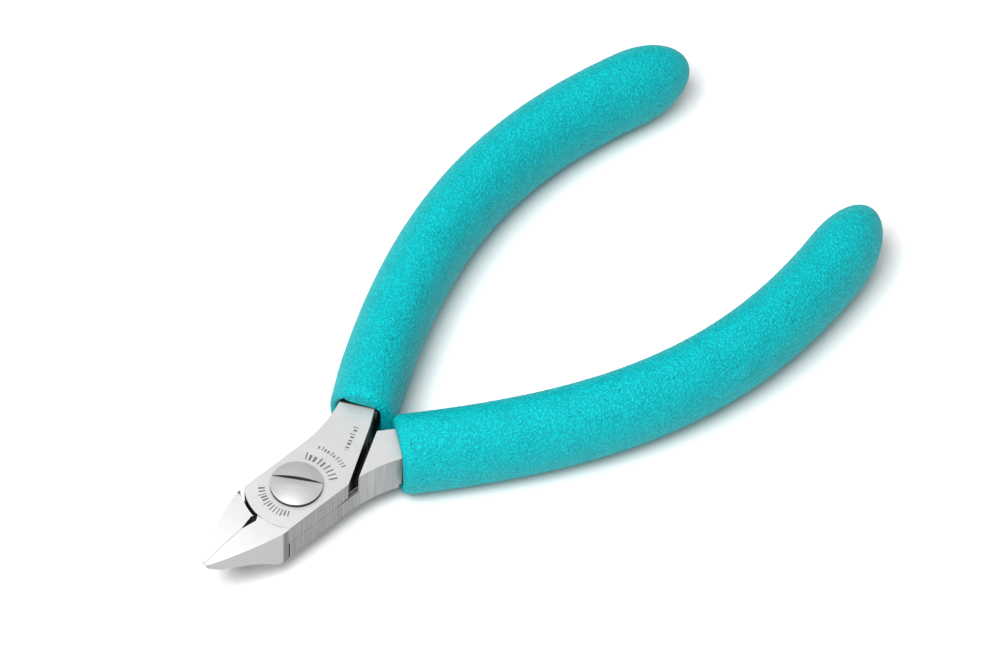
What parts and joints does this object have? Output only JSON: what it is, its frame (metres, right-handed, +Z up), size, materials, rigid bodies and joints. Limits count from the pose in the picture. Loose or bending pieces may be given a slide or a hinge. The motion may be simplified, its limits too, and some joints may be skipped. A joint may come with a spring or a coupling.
{
  "type": "flush cutter",
  "caption": "Small lap-jointed flush cutter with a tapered head, a domed joint screw and bowed handles in foam grips.",
  "frame": {"origin": "centre of the bottom of the closed tool's box, on the surface it lies on", "axes": "+X from the jaws to the handles, +Y to the upper half's handle, +Z up through the screw head"},
  "size_m": [0.1154, 0.0584, 0.014],
  "materials": {
    "tool_steel": "satin ground, polished on the jaws",
    "screw_steel": "turned and polished",
    "spring_steel": "bright drawn",
    "bronze": "satin",
    "grip_foam": "matt pebbled foam"
  },
  "bodies": {
    "lower": {"lower_half": "tool_steel", "pivot_screw": "screw_steel", "joint_washer": "bronze", "lock_nut": "screw_steel", "nut_washer": "spring_steel", "stop_pin": "screw_steel", "return_spring": "spring_steel", "lower_grip": "grip_foam"},
    "upper": {"upper_half": "tool_steel", "upper_grip": "grip_foam"}
  },
  "joints": [
    {"name": "jaw_pivot", "type": "hinge", "parent": "lower", "child": "upper", "pos_m": [-0.0403, 0, 0.007], "axis": [0, 0, 1], "range_deg": [0, 10]}
  ]
}
